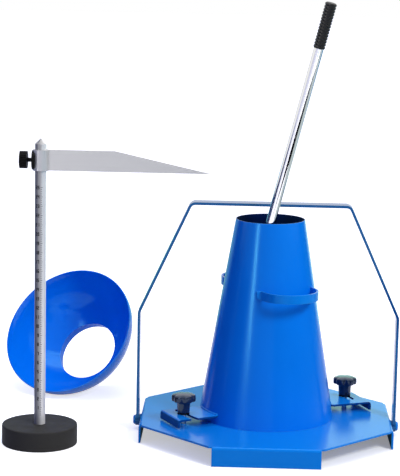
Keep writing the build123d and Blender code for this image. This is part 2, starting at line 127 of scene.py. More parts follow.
# Broken edges: the normal of a small rounding, and a mask where it departs from the flat face.
def makeEdgeGroup():
    group, start, end = newGroup(
        "softEdges",
        [("Radius", floatKind, 0.0008)],
        [("Normal", vectorKind), ("Mask", floatKind)],
    )
    rounding = addNode(group, "ShaderNodeBevel", {"samples": 6})
    surface = addNode(group, "ShaderNodeNewGeometry")
    likeness = addNode(group, "ShaderNodeVectorMath", {"operation": "DOT_PRODUCT"})
    spread = spreadNode(group, 0.0, 1.0, fromLow=1.0, fromHigh=0.75)
    group.links.new(start.outputs["Radius"], rounding.inputs["Radius"])
    group.links.new(rounding.outputs["Normal"], likeness.inputs[0])
    group.links.new(surface.outputs["Normal"], likeness.inputs[1])
    group.links.new(likeness.outputs["Value"], spread.inputs["Value"])
    group.links.new(rounding.outputs["Normal"], end.inputs["Normal"])
    group.links.new(spread.outputs["Result"], end.inputs["Mask"])
    return group


# Ground or drawn metal: noise stretched along the working direction.
def makeStreakGroup():
    group, start, end = newGroup(
        "workedStreaks",
        [("Stretch", vectorKind, (400.0, 400.0, 8.0))],
        [("Height", floatKind), ("Mask", floatKind)],
    )
    place = addNode(group, "ShaderNodeTexCoord")
    stretch = addNode(group, "ShaderNodeVectorMath", {"operation": "MULTIPLY"})
    streaks = addNode(
        group, "ShaderNodeTexNoise", None, {"Scale": 1.0, "Detail": 3.0, "Roughness": 0.6}
    )
    contrast = spreadNode(group, 0.0, 1.0, fromLow=0.35, fromHigh=0.65)
    group.links.new(place.outputs["Object"], stretch.inputs[0])
    group.links.new(start.outputs["Stretch"], stretch.inputs[1])
    group.links.new(stretch.outputs["Vector"], streaks.inputs["Vector"])
    group.links.new(streaks.outputs["Fac"], contrast.inputs["Value"])
    group.links.new(streaks.outputs["Fac"], end.inputs["Height"])
    group.links.new(contrast.outputs["Result"], end.inputs["Mask"])
    return group


# Grain of moulded plastic, rubber and coated iron: a fine speckle and soft handling marks.
def makeGrainGroup():
    group, start, end = newGroup(
        "fineGrain",
        [("Fineness", floatKind, 1400.0), ("Breadth", floatKind, 60.0)],
        [("Height", floatKind), ("Marks", floatKind)],
    )
    place = addNode(group, "ShaderNodeTexCoord")
    speckle = addNode(group, "ShaderNodeTexNoise", None, {"Detail": 2.0})
    marks = addNode(group, "ShaderNodeTexNoise", None, {"Detail": 4.0, "Roughness": 0.6})
    group.links.new(place.outputs["Object"], speckle.inputs["Vector"])
    group.links.new(place.outputs["Object"], marks.inputs["Vector"])
    group.links.new(start.outputs["Fineness"], speckle.inputs["Scale"])
    group.links.new(start.outputs["Breadth"], marks.inputs["Scale"])
    group.links.new(speckle.outputs["Fac"], end.inputs["Height"])
    group.links.new(marks.outputs["Fac"], end.inputs["Marks"])
    return group


# Mask group: one output from 0 to 1, and a node that tells where a point lies and which way it
# faces.
def newMask(name):
    group, _, end = newGroup(name, [], [("Mask", floatKind)])
    return group, addNode(group, "ShaderNodeTexCoord"), end


# A vector laid level, without its upward part.
def levelNode(tree):
    return addNode(tree, "ShaderNodeVectorMath", {"operation": "MULTIPLY"}, {1: (1.0, 1.0, 0.0)})


# Painted shade inside the cone: 1 where a point lies within the middle of the sloping wall, 0
# outside it.
def makeHollowGroup():
    group, place, end = newMask("coneHollowShade")
    level = levelNode(group)
    reach = addNode(group, "ShaderNodeVectorMath", {"operation": "LENGTH"})
    parts = addNode(group, "ShaderNodeSeparateXYZ")
    wall = addNode(
        group,
        "ShaderNodeMath",
        {"operation": "MULTIPLY_ADD"},
        {1: -1.0 / coneWall["rise"], 2: (coneWall["foot"] - coneWall["skin"]) * mm},
    )
    within = addNode(group, "ShaderNodeMath", {"operation": "LESS_THAN"})
    group.links.new(place.outputs["Object"], level.inputs[0])
    group.links.new(place.outputs["Object"], parts.inputs["Vector"])
    group.links.new(level.outputs["Vector"], reach.inputs[0])
    group.links.new(parts.outputs["Z"], wall.inputs[0])
    group.links.new(reach.outputs["Value"], within.inputs[0])
    group.links.new(wall.outputs["Value"], within.inputs[1])
    group.links.new(within.outputs["Value"], end.inputs["Mask"])
    return group


# Painted shade on a plate's upright faces: 1 on upright faces, whichever way they look, 0 on level
# ones.
def makeCutGroup():
    group, place, end = newMask("uprightFaceShade")
    level = levelNode(group)
    reach = addNode(group, "ShaderNodeVectorMath", {"operation": "LENGTH"})
    spread = spreadNode(group, 0.0, 1.0, fromLow=0.6, fromHigh=0.85)
    group.links.new(place.outputs["Normal"], level.inputs[0])
    group.links.new(level.outputs["Vector"], reach.inputs[0])
    group.links.new(reach.outputs["Value"], spread.inputs["Value"])
    group.links.new(spread.outputs["Result"], end.inputs["Mask"])
    return group


# Painted shade inside the folded skirt: 1 on upright faces turned towards the middle of the plate,
# else 0.
def makeSkirtGroup():
    group, place, end = newMask("skirtInsideShade")
    level = levelNode(group)
    outward = addNode(group, "ShaderNodeVectorMath", {"operation": "DOT_PRODUCT"})
    spread = spreadNode(group, 0.0, 1.0, fromLow=-0.02, fromHigh=-0.08)
    group.links.new(place.outputs["Object"], level.inputs[0])
    group.links.new(place.outputs["Normal"], outward.inputs[0])
    group.links.new(level.outputs["Vector"], outward.inputs[1])
    group.links.new(outward.outputs["Value"], spread.inputs["Value"])
    group.links.new(spread.outputs["Result"], end.inputs["Mask"])
    return group


# Painted shade on the column: 1 along the side where the scale stands, fading to 0 round the
# column. The turned point above it gets the same painted shade and dullness, but for its far side.
def makeStripGroup():
    group, place, end = newMask("columnShadeStrip")
    facing = {1: (-0.545, -0.839, 0.7)}
    likeness = addNode(group, "ShaderNodeVectorMath", {"operation": "DOT_PRODUCT"}, facing)
    spread = spreadNode(group, 0.0, 1.0, fromLow=0.45, fromHigh=0.92)
    group.links.new(place.outputs["Normal"], likeness.inputs[0])
    group.links.new(likeness.outputs["Value"], spread.inputs["Value"])
    group.links.new(spread.outputs["Result"], end.inputs["Mask"])
    return group


peelGroup = makePeelGroup()
edgeGroup = makeEdgeGroup()
streakGroup = makeStreakGroup()
grainGroup = makeGrainGroup()
hollowShadeGroup = makeHollowGroup()
uprightShadeGroup = makeCutGroup()
skirtShadeGroup = makeSkirtGroup()
stripShadeGroup = makeStripGroup()
print("surface groups made")


# Blue enamel over steel: the shade varies a little, edges are rounded and carry a painted
# highlight, a paler blue mixed in along them, the gloss is tinted by the paint and a faint sheen
# lifts it where it is seen along the surface. Under a mask, where there is one, painted shade
# makes the paint darker and dull.
def bluePaint(name, look, maskGroup=None, paintedShade=None):
    paintDims = {
        "shade": (0.98, 1.02),
        "gloss": (0.95, 1.05),
        "edgeHighlightColour": (0.10, 0.37, 0.86, 1.0),
        "sheenTint": (0.12, 1.0, 0.85, 1.0),
        "sheenRoughness": 0.35,
        "dull": 0.75,
        "peel": 0.04,
        "peelDepth": 0.0002,
    }
    colour = look["colour"]
    roughness = look["roughness"]
    material, tree, shader = newMaterial(name, colour, 0.0, roughness, look["specular"])
    shader.inputs["Specular Tint"].default_value = (*look["tint"], 1.0)
    shader.inputs["Sheen Weight"].default_value = look["sheen"]
    shader.inputs["Sheen Roughness"].default_value = paintDims["sheenRoughness"]
    shader.inputs["Sheen Tint"].default_value = paintDims["sheenTint"]
    peel = useGroup(tree, peelGroup)
    edges = useGroup(tree, edgeGroup, {"Radius": look["edge"]})
    shade = spreadNode(tree, *paintDims["shade"])
    tone = addNode(
        tree,
        "ShaderNodeMix",
        {"data_type": "RGBA", "blend_type": "MULTIPLY"},
        {"Factor": 1.0, mixA: (*colour, 1.0)},
    )
    # Painted highlight: the rounded edges turn towards a paler blue.
    amount = addNode(tree, "ShaderNodeMath", {"operation": "MULTIPLY"}, {1: look["edgeHighlight"]})
    edgeHighlight = addNode(
        tree, "ShaderNodeMix", {"data_type": "RGBA"}, {mixB: paintDims["edgeHighlightColour"]}
    )
    gloss = spreadNode(tree, *(roughness * share for share in paintDims["gloss"]))
    bump = addNode(
        tree,
        "ShaderNodeBump",
        None,
        {"Strength": paintDims["peel"], "Distance": paintDims["peelDepth"]},
    )
    tree.links.new(peel.outputs["Shade"], shade.inputs["Value"])
    tree.links.new(shade.outputs["Result"], tone.inputs[mixB])
    tree.links.new(tone.outputs[mixOut], edgeHighlight.inputs[mixA])
    tree.links.new(edges.outputs["Mask"], amount.inputs[0])
    tree.links.new(amount.outputs["Value"], edgeHighlight.inputs["Factor"])
    tree.links.new(edgeHighlight.outputs[mixOut], shader.inputs["Base Color"])
    tree.links.new(peel.outputs["Shade"], gloss.inputs["Value"])
    tree.links.new(gloss.outputs["Result"], shader.inputs["Roughness"])
    tree.links.new(peel.outputs["Height"], bump.inputs["Height"])
    tree.links.new(edges.outputs["Normal"], bump.inputs["Normal"])
    tree.links.new(bump.outputs["Normal"], shader.inputs["Normal"])
    # Painted shade: under the mask the paint turns to the given darker colour and grows dull.
    if maskGroup:
        mask = useGroup(tree, maskGroup)
        dark = addNode(tree, "ShaderNodeMix", {"data_type": "RGBA"}, {mixB: (*paintedShade, 1.0)})
        dull = addNode(
            tree, "ShaderNodeMix", {"data_type": "FLOAT"}, {valueB: paintDims["dull"]}
        )
        tree.links.new(mask.outputs["Mask"], dark.inputs["Factor"])
        tree.links.new(edgeHighlight.outputs[mixOut], dark.inputs[mixA])
        tree.links.new(dark.outputs[mixOut], shader.inputs["Base Color"])
        tree.links.new(mask.outputs["Mask"], dull.inputs["Factor"])
        tree.links.new(gloss.outputs["Result"], dull.inputs[valueA])
        tree.links.new(dull.outputs[valueOut], shader.inputs["Roughness"])
    return material


# Bare metal with drawn streaks in its gloss, duller towards its outline.
def bareMetal(name, colour, roughness, spread, stretch, edgeRadius, rim=1.0, metallic=1.0):
    material, tree, shader = newMaterial(name, colour, metallic, roughness)
    shader.inputs["Specular Tint"].default_value = (rim, rim, rim, 1.0)
    streaks = useGroup(tree, streakGroup, {"Stretch": stretch})
    edges = useGroup(tree, edgeGroup, {"Radius": edgeRadius})
    gloss = spreadNode(tree, roughness - spread, roughness + spread, fromLow=0.0, fromHigh=1.0)
    bump = addNode(tree, "ShaderNodeBump", None, {"Strength": 0.04, "Distance": 0.0001})
    tree.links.new(streaks.outputs["Mask"], gloss.inputs["Value"])
    tree.links.new(gloss.outputs["Result"], shader.inputs["Roughness"])
    tree.links.new(streaks.outputs["Height"], bump.inputs["Height"])
    tree.links.new(edges.outputs["Normal"], bump.inputs["Normal"])
    tree.links.new(bump.outputs["Normal"], shader.inputs["Normal"])
    return material


# Drawn steel with painted shade: a darker and duller strip along the side that carries the scale.
# The strip fades out to both sides and the steel is brightest beside it.
def etchedMetal(name, colour, stripShade, roughness, dulling, stretch, metallic):
    material, tree, shader = newMaterial(name, colour, metallic, roughness)
    streaks = useGroup(tree, streakGroup, {"Stretch": stretch})
    strip = useGroup(tree, stripShadeGroup)
    tone = addNode(
        tree, "ShaderNodeMix", {"data_type": "RGBA"}, {mixA: (*colour, 1.0), mixB: (*stripShade, 1.0)}
    )
    gloss = spreadNode(tree, roughness, roughness + dulling, fromLow=0.0, fromHigh=1.0)
    bump = addNode(tree, "ShaderNodeBump", None, {"Strength": 0.04, "Distance": 0.0001})
    tree.links.new(strip.outputs["Mask"], tone.inputs["Factor"])
    tree.links.new(tone.outputs[mixOut], shader.inputs["Base Color"])
    tree.links.new(strip.outputs["Mask"], gloss.inputs["Value"])
    tree.links.new(gloss.outputs["Result"], shader.inputs["Roughness"])
    tree.links.new(streaks.outputs["Height"], bump.inputs["Height"])
    tree.links.new(bump.outputs["Normal"], shader.inputs["Normal"])
    return material


# Black moulded plastic, rubber and coated iron: fine grain, gloss broken by handling.
def darkCoat(name, colour, roughness, specular, spread, grain, edgeRadius):
    material, tree, shader = newMaterial(name, colour, 0.0, roughness, specular)
    speckle = useGroup(tree, grainGroup)
    edges = useGroup(tree, edgeGroup, {"Radius": edgeRadius})
    gloss = spreadNode(tree, roughness - spread, roughness + spread)
    bump = addNode(tree, "ShaderNodeBump", None, {"Strength": grain, "Distance": 0.0002})
    tree.links.new(speckle.outputs["Marks"], gloss.inputs["Value"])
    tree.links.new(gloss.outputs["Result"], shader.inputs["Roughness"])
    tree.links.new(speckle.outputs["Height"], bump.inputs["Height"])
    tree.links.new(edges.outputs["Normal"], bump.inputs["Normal"])
    tree.links.new(bump.outputs["Normal"], shader.inputs["Normal"])
    return material


allWays = (300.0, 300.0, 300.0)
upright = (500.0, 500.0, 6.0)
along = (8.0, 500.0, 500.0)
plateLook = {
    "colour": (0.0003, 0.190, 0.710),
    "roughness": 0.20,
    "specular": 0.40,
    "tint": (0.20, 0.90, 1.0),
    "sheen": 0.15,
    "edge": 0.0010,
    "edgeHighlight": 0.45,
}
coneLook = {
    "colour": (0.0003, 0.163, 0.720),
    "roughness": 0.20,
    "specular": 0.40,
    "tint": (0.20, 0.90, 1.0),
    "sheen": 0.05,
    "edge": 0.0012,
    "edgeHighlight": 0.60,
}
# Bail: the blue enamel set much darker, painted shade.
bailShadeLook = {
    "colour": (0.0006, 0.062, 0.240),
    "roughness": 0.12,
    "specular": 0.90,
    "tint": (0.25, 0.75, 1.0),
    "sheen": 0.0,
    "edge": 0.0006,
    "edgeHighlight": 0.10,
}
funnelLook = {
    "colour": (0.0003, 0.200, 0.900),
    "roughness": 0.12,
    "specular": 0.45,
    "tint": (0.25, 0.90, 1.0),
    "sheen": 0.05,
    "edge": 0.0004,
    "edgeHighlight": 0.10,
}
enamel = bluePaint("blueEnamel", plateLook)
# Plate: painted shade, a dark navy, on the inside of the folded skirt.
plateEnamel = bluePaint("plateEnamel", plateLook, skirtShadeGroup, (0.0003, 0.008, 0.055))
# Cone: painted shade, a dark navy, inside the hollow.
coneEnamel = bluePaint("coneEnamel", coneLook, hollowShadeGroup, (0.0005, 0.006, 0.080))
# Feet: painted shade, a darker blue, on every upright face.
footEnamel = bluePaint("footEnamel", plateLook, uprightShadeGroup, (0.0003, 0.045, 0.220))
bailShadedEnamel = bluePaint("bailShadedEnamel", bailShadeLook)
funnelEnamel = bluePaint("funnelEnamel", funnelLook)
zinc = bareMetal(
    "zincSteel",
    (0.62, 0.63, 0.64),
    roughness=0.34,
    spread=0.06,
    stretch=allWays,
    edgeRadius=0.0003,
)
chrome = bareMetal(
    "chromedSteel",
    (0.90, 0.90, 0.89),
    roughness=0.07,
    spread=0.02,
    stretch=upright,
    edgeRadius=0.0004,
    rim=0.45,
)
bright = bareMetal(
    "brightSteel",
    (0.60, 0.595, 0.585),
    roughness=0.30,
    spread=0.04,
    stretch=upright,
    edgeRadius=0.0004,
    rim=0.8,
    metallic=0.35,
)
# Column: painted shade along the scale's side and on the turned point, from the strip mask.
drawn = etchedMetal(
    "drawnSteel",
    (0.81, 0.80, 0.78),
    stripShade=(0.30, 0.30, 0.295),
    roughness=0.26,
    dulling=0.12,
    stretch=upright,
    metallic=0.30,
)
satin = bareMetal(
    "satinSteel",
    (0.57, 0.565, 0.555),
    roughness=0.42,
    spread=0.04,
    stretch=along,
    edgeRadius=0.0003,
)
brass = bareMetal(
    "brass",
    (0.72, 0.47, 0.16),
    roughness=0.30,
    spread=0.05,
    stretch=allWays,
    edgeRadius=0.0003,
)
plastic = darkCoat(
    "blackPlastic",
    (0.005, 0.007, 0.020),
    roughness=0.13,
    specular=0.80,
    spread=0.03,
    grain=0.02,
    edgeRadius=0.0008,
)
plasticShader = plastic.node_tree.nodes["Principled BSDF"]
plasticShader.inputs["Specular Tint"].default_value = (0.5, 0.7, 1.0, 1.0)
plasticShader.inputs["Sheen Weight"].default_value = 0.12
plasticShader.inputs["Sheen Tint"].default_value = (0.4, 0.6, 1.0, 1.0)
rubber = darkCoat(
    "blackRubber",
    (0.004, 0.004, 0.004),
    roughness=0.36,
    specular=0.35,
    spread=0.06,
    grain=0.06,
    edgeRadius=0.0004,
)
iron = darkCoat(
    "charcoalIron",
    (0.034, 0.033, 0.031),
    roughness=0.60,
    specular=0.10,
    spread=0.06,
    grain=0.10,
    edgeRadius=0.0012,
)
blacking = darkCoat(
    "blackSteel",
    (0.003, 0.003, 0.003),
    roughness=0.45,
    specular=0.10,
    spread=0.06,
    grain=0.05,
    edgeRadius=0.0004,
)
materialOf = {
    "base_plate": plateEnamel,
    "bail_bolts": enamel,
    "bail_nuts": zinc,
    "bail_spacers": enamel,
    "bail_strap": bailShadedEnamel,
    "cone_shell": coneEnamel,
    "cone_handle_front": enamel,
    "cone_handle_rear": enamel,
    "cone_foot_left": footEnamel,
    "cone_foot_right": footEnamel,
    "clamp_stud_left": zinc,
    "clamp_stud_right": zinc,
    "clamp_washer_left": blacking,
    "clamp_washer_right": blacking,
    "clamp_knob_left": plastic,
    "clamp_knob_right": plastic,
    "clamp_insert_left": brass,
    "clamp_insert_right": brass,
    "rod_bar": chrome,
    "rod_grip": rubber,
    "gauge_base": iron,
    "gauge_column": drawn,
    "gauge_base_screw": zinc,
    "gauge_slider": bright,
    "pointer_blade": satin,
    "lock_disc": blacking,
    "lock_screw": blacking,
    "lock_knob": blacking,
    "funnel_bowl": funnelEnamel,
    "funnel_collar": funnelEnamel,
}
for nodeName, material in materialOf.items():
    nodes[nodeName].data.materials.clear()
    nodes[nodeName].data.materials.append(material)
print("materials given:", len(materialOf))


# A piece from points and faces, shaded smooth with sharp edges kept, riding on a body.
def makePiece(name, points, faces, material, body, sharp=35.0):
    mesh = bpy.data.meshes.new(name)
    mesh.from_pydata((points * mm).tolist(), [], faces)
    mesh.polygons.foreach_set("use_smooth", np.ones(len(mesh.polygons), dtype=bool))
    mesh.set_sharp_from_angle(angle=math.radians(sharp))
    mesh.materials.append(material)
    piece = bpy.data.objects.new(name, mesh)
    bpy.context.scene.collection.objects.link(piece)
    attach(piece, body)
    return piece


# Rings of points, each closed on itself, joined one to the next; both ends close on a middle
# point.
def ringSkin(rings):
    rows, columns = rings.shape[:2]
    points = np.concatenate((rings.reshape(-1, 3), rings[[0, -1]].mean(axis=1)))
    row, column = np.meshgrid(np.arange(rows - 1), np.arange(columns), indexing="ij")
    here = row * columns + column
    beside = row * columns + (column + 1) % columns
    quads = np.stack((here, beside, beside + columns, here + columns), axis=-1).reshape(-1, 4)
    turn = np.arange(columns)
    ahead = (turn + 1) % columns
    last = (rows - 1) * columns
    first = np.stack((np.full(columns, rows * columns), ahead, turn), axis=-1)
    final = np.stack((np.full(columns, rows * columns + 1), last + turn, last + ahead), axis=-1)
    return points, quads.tolist() + first.tolist() + final.tolist()


# Corner cutting: each leg of a line keeps its middle half, so that corners turn into short
# curves.
def softLine(line, rounds):
    line = np.asarray(line, dtype=float)
    for _ in range(rounds):
        here = line[:-1]
        beyond = line[1:]
        inner = np.stack((0.75 * here + 0.25 * beyond, 0.25 * here + 0.75 * beyond), axis=1)
        line = np.concatenate((line[:1], inner.reshape(-1, line.shape[1]), line[-1:]))
    return line


# Angles of equal steps round a full turn.
def fullTurn(columns):
    return np.arange(columns) * 2 * math.pi / columns


# Lobed clamp knob: a bore and an outside, as radius, height and share of the lobes, turned about
# the stud. At each turn the radius is the line's, less draw times share times a raised cosine,
# six to the turn, to the power narrow.
def makeKnob(side, azimuth):
    knobDims = {"lobes": 6, "draw": 2.6, "narrow": 4.0, "rounds": 3, "columns": 144}
    low, high = (np.array(corner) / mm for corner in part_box("clamp_knob_" + side))
    middle = (low + high) / 2
    bore = np.array(
        [
            (4.4, 18.0, 0.0),
            (4.4, 12.0, 0.0),
            (6.0, 12.0, 0.0),
            (6.0, 0.0, 0.0),
        ]
    )
    outside = np.array(
        [
            (8.2, 0.0, 0.0),
            (9.0, 0.7, 0.0),
            (9.3, 4.0, 0.0),
            (9.7, 12.0, 0.0),
            (10.2, 16.4, 0.10),
            (11.8, 17.3, 0.35),
            (15.0, 17.6, 0.80),
            (17.6, 17.9, 1.0),
            (18.0, 19.6, 1.0),
            (18.0, 24.6, 1.0),
            (17.6, 26.3, 1.0),
            (16.0, 27.4, 0.95),
            (12.0, 28.3, 0.55),
            (7.0, 28.8, 0.12),
            (2.0, 29.0, 0.0),
        ]
    )
    line = np.concatenate((bore, softLine(outside, knobDims["rounds"])))
    turn = fullTurn(knobDims["columns"])
    raised = 0.5 + 0.5 * np.cos(knobDims["lobes"] * (turn - math.radians(azimuth)))
    wave = raised ** knobDims["narrow"]
    reach = line[:, :1] - knobDims["draw"] * line[:, 2:] * wave
    height = np.repeat(line[:, 1:2], knobDims["columns"], axis=1)
    rings = np.stack((reach * np.cos(turn), reach * np.sin(turn), height), axis=-1)
    rings = rings + (middle[0], middle[1], low[2])
    points, faces = ringSkin(rings)
    piece = makePiece(
        "lobedKnob." + side, points, faces, plastic, "knob_" + side
    )
    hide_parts("clamp_knob_" + side)


makeKnob("right", azimuth=28.0)
makeKnob("left", azimuth=208.0)
print("knobs made")


# Gauge base: a turned disc with rounded rims, a socket for the column and a pocket for its screw.
# Each point of the line, as radius and height, goes once round the axis.
def makeGaugeBase():
    baseDims = {
        "radius": 55.5,
        "height": 29.0,
        "flat": 6.0,
        "lowEdge": 0.8,
        "lowWall": 4.0,
        "topEdge": 1.2,
        "pocket": 6.5,
        "pocketTop": 8.3,
        "socket": 8.25,
        "socketFloor": 10.95,
        "rounds": 3,
        "columns": 144,
    }
    low, high = (np.array(corner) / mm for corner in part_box("gauge_base"))
    middle = (low + high) / 2
    radius = baseDims["radius"]
    height = baseDims["height"]
    rim = softLine(
        [
            (radius - baseDims["flat"], 0.0),
            (radius - baseDims["lowEdge"], 0.0),
            (radius, baseDims["lowEdge"]),
            (radius, baseDims["lowWall"]),
            (radius, height - baseDims["flat"]),
            (radius, height - baseDims["topEdge"]),
            (radius - baseDims["topEdge"], height),
            (radius - baseDims["flat"], height),
        ],
        baseDims["rounds"],
    )
    pocket = np.array([(baseDims["pocket"], baseDims["pocketTop"]), (baseDims["pocket"], 0.0)])
    socket = np.array([(baseDims["socket"], height), (baseDims["socket"], baseDims["socketFloor"])])
    line = np.concatenate((pocket, rim, socket))
    turn = fullTurn(baseDims["columns"])
    reach = line[:, :1]
    level = np.repeat(line[:, 1:2], baseDims["columns"], axis=1)
    rings = np.stack((reach * np.cos(turn), reach * np.sin(turn), level), axis=-1)
    rings = rings + (middle[0], middle[1], 0.0)
    points, faces = ringSkin(rings)
    piece = makePiece("turnedBase", points, faces, iron, "gauge_stand")
    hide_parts("gauge_base")


makeGaugeBase()
print("gauge base made")


# Rod grip: a sleeve along the rod. Its radius is the outer one less groove times a cosine's size,
# one peak to each rib, to the power narrow, so that rounded ribs stand between narrow grooves.
def makeGrip():
    gripDims = {
        "foot": (-70.5, 0.0, 35.8),
        "radius": 8.5,
        "bore": 7.02,
        "bottom": 573.0,
        "top": 640.0,
        "groove": 0.85,
        "ribs": 15,
        "narrow": 4,
        "lip": 0.6,
        "lipDraw": 0.9,
        "round": 1.4,
        "crownDraw": 2.2,
        "endWall": 3.0,
        "rows": 300,
        "roundRows": 8,
        "columns": 72,
        "sharp": 60.0,
    }
    bottom = gripDims["bottom"]
    top = gripDims["top"]
    axis = next(np.array(joint["axis"]) for joint in frame["joints"] if joint["name"] == "rod_draw")
    across = np.cross((0.0, 0.0, 1.0), axis)
    across = across / np.linalg.norm(across)
    third = np.cross(axis, across)
    pitch = (top - bottom) / gripDims["ribs"]
    run = np.linspace(bottom + gripDims["lip"], top - gripDims["round"], gripDims["rows"])
    wave = np.abs(np.cos(math.pi * (run - bottom) / pitch)) ** gripDims["narrow"]
    reach = gripDims["radius"] - gripDims["groove"] * wave
    ribbed = np.stack((reach, run), axis=-1)
    start = np.array(
        [
            (gripDims["bore"], top - gripDims["endWall"]),
            (gripDims["bore"], bottom),
            (gripDims["radius"] - gripDims["lipDraw"], bottom),
        ]
    )
    shoulder = np.linspace(0.0, math.pi / 2, gripDims["roundRows"])[1:]
    finish = np.stack(
        (
            gripDims["radius"] - gripDims["crownDraw"] + gripDims["round"] * np.cos(shoulder),
            top - gripDims["round"] + gripDims["round"] * np.sin(shoulder),
        ),
        axis=-1,
    )
    line = np.concatenate((start, ribbed, finish))
    turn = fullTurn(gripDims["columns"])
    around = np.cos(turn)[:, None] * across + np.sin(turn)[:, None] * third
    foot = np.array(gripDims["foot"])
    rings = foot + line[:, 1, None, None] * axis + line[:, 0, None, None] * around
    points, faces = ringSkin(rings)
    piece = makePiece(
        "ribbedGrip", points, faces, rubber, "rod", gripDims["sharp"]
    )
    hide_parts("rod_grip")


makeGrip()
print("grip made")


# Scale on the column: strokes as thin slabs bent round it. A stroke is given by its ends along
# the round of the column, from the line where the marks begin, and by its lower and upper
# heights; the turn of a point is the distance along the round over the radius.
def makeScale():
    scaleDims = {
        "radius": 8.2,
        "sunk": 0.1,
        "proud": 0.03,
        "azimuth": -80.0,
        "low": 41.0,
        "pitch": 13.6,
        "marks": 25,
        "parts": 5,
        "begin": -0.4,
        "long": 2.6,
        "longHalf": 0.3,
        "short": 1.6,
        "shortHalf": 0.28,
        "wide": 2.6,
        "tall": 5.2,
        "pen": 1.0,
        "gap": 0.7,
        "margin": 1.4,
        "columns": 4,
        "sharp": 30.0,
    }
    low, high = (np.array(corner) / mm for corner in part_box("gauge_column"))
    middle = (low + high) / 2
    wide = scaleDims["wide"]
    tall = scaleDims["tall"]
    pen = scaleDims["pen"]
    segments = {
        "top": (0.0, wide, tall - pen, tall),
        "mid": (0.0, wide, tall / 2 - pen / 2, tall / 2 + pen / 2),
        "bottom": (0.0, wide, 0.0, pen),
        "upLeft": (0.0, pen, tall / 2, tall),
        "upRight": (wide - pen, wide, tall / 2, tall),
        "lowLeft": (0.0, pen, 0.0, tall / 2),
        "lowRight": (wide - pen, wide, 0.0, tall / 2),
    }
    figures = {
        "0": ("top", "bottom", "upLeft", "upRight", "lowLeft", "lowRight"),
        "1": ("upRight", "lowRight"),
        "2": ("top", "mid", "bottom", "upRight", "lowLeft"),
        "3": ("top", "mid", "bottom", "upRight", "lowRight"),
        "4": ("mid", "upLeft", "upRight", "lowRight"),
        "5": ("top", "mid", "bottom", "upLeft", "lowRight"),
        "6": ("top", "mid", "bottom", "upLeft", "lowLeft", "lowRight"),
        "7": ("top", "upRight", "lowRight"),
        "8": ("top", "mid", "bottom", "upLeft", "upRight", "lowLeft", "lowRight"),
        "9": ("top", "mid", "bottom", "upLeft", "upRight", "lowRight"),
    }
    begin = scaleDims["begin"]
    longHalf = scaleDims["longHalf"]
    shortHalf = scaleDims["shortHalf"]
    strokes = []
    for mark in range(1, scaleDims["marks"] + 1):
        level = scaleDims["low"] + scaleDims["pitch"] * mark
        strokes.append((begin, scaleDims["long"], level - longHalf, level + longHalf))
        for part in range(1, scaleDims["parts"]):
            step = level - part * scaleDims["pitch"] / scaleDims["parts"]
            strokes.append((begin, scaleDims["short"], step - shortHalf, step + shortHalf))
        label = str(mark)
        start = -scaleDims["margin"] - (wide + scaleDims["gap"]) * len(label)
        for place, figure in enumerate(label):
            shift = start + place * (wide + scaleDims["gap"])
            for segment in figures[figure]:
                left, right, under, over = segments[segment]
                strokes.append(
                    (left + shift, right + shift, level + under - tall / 2, level + over - tall / 2)
                )
    strokes = np.array(strokes)
    columns = scaleDims["columns"]
    bend = np.linspace(0.0, 1.0, columns)
    arc = strokes[:, :1] + (strokes[:, 1:2] - strokes[:, :1]) * bend
    turn = math.radians(scaleDims["azimuth"]) + arc / scaleDims["radius"]
    inner = scaleDims["radius"] - scaleDims["sunk"]
    outer = scaleDims["radius"] + scaleDims["proud"]
    reach = np.array((inner, outer, outer, inner))
    level = np.stack((strokes[:, 2], strokes[:, 2], strokes[:, 3], strokes[:, 3]), axis=-1)
    corner = np.stack(
        np.broadcast_arrays(
            middle[0] + reach * np.cos(turn)[:, :, None],
            middle[1] + reach * np.sin(turn)[:, :, None],
            level[:, None, :],
        ),
        axis=-1,
    )
    first = np.arange(len(strokes))[:, None, None] * 4 * columns
    here = first + np.arange(columns - 1)[None, :, None] * 4
    edge = np.arange(4)[None, None, :]
    after = (edge + 1) % 4
    sides = np.stack(
        np.broadcast_arrays(here + edge, here + 4 + edge, here + 4 + after, here + after), axis=-1
    ).reshape(-1, 4)
    start = first.reshape(-1, 1) + np.arange(4)
    end = first.reshape(-1, 1) + 4 * columns - 1 - np.arange(4)
    faces = sides.tolist() + start.tolist() + end.tolist()
    points = corner.reshape(-1, 3)
    makePiece(
        "columnScale",
        points,
        faces,
        blacking,
        "gauge_stand",
        scaleDims["sharp"],
    )


makeScale()
print("scale made")


# Weld bead: a tube along a path, rippled as the weld was laid step by step. Its radius is the
# given one times one plus ripple times the sine of the run, a wave to each pitch, and falls off
# at both ends as the square root of the distance to the end.
def makeBead(name, path, radius, body):
    beadDims = {"ripple": 0.10, "pitch": 1.9, "tip": 0.02, "columns": 14, "sharp": 60.0}
    offAxis = (0.31, 0.17, 0.94)
    steps = np.linalg.norm(np.diff(path, axis=0), axis=1)
    run = np.concatenate(((0.0,), np.cumsum(steps)))
    tangent = np.gradient(path, axis=0)
    tangent = tangent / np.linalg.norm(tangent, axis=1, keepdims=True)
    outward = np.cross(tangent, offAxis)
    outward = outward / np.linalg.norm(outward, axis=1, keepdims=True)
    third = np.cross(tangent, outward)
    taper = np.sqrt(np.clip(np.minimum(run, run[-1] - run) / radius, beadDims["tip"], 1.0))
    ripple = 1.0 + beadDims["ripple"] * np.sin(run * 2 * math.pi / beadDims["pitch"])
    reach = radius * taper * ripple
    turn = fullTurn(beadDims["columns"])
    around = (
        np.cos(turn)[None, :, None] * outward[:, None, :]
        + np.sin(turn)[None, :, None] * third[:, None, :]
    )
    rings = path[:, None, :] + reach[:, None, None] * around
    points, faces = ringSkin(rings)
    makePiece(name, points, faces, enamel, body, beadDims["sharp"])


# Outer radius of the cone's wall at a level.
def wallRadius(level):
    return coneWall["foot"] - level / coneWall["rise"]


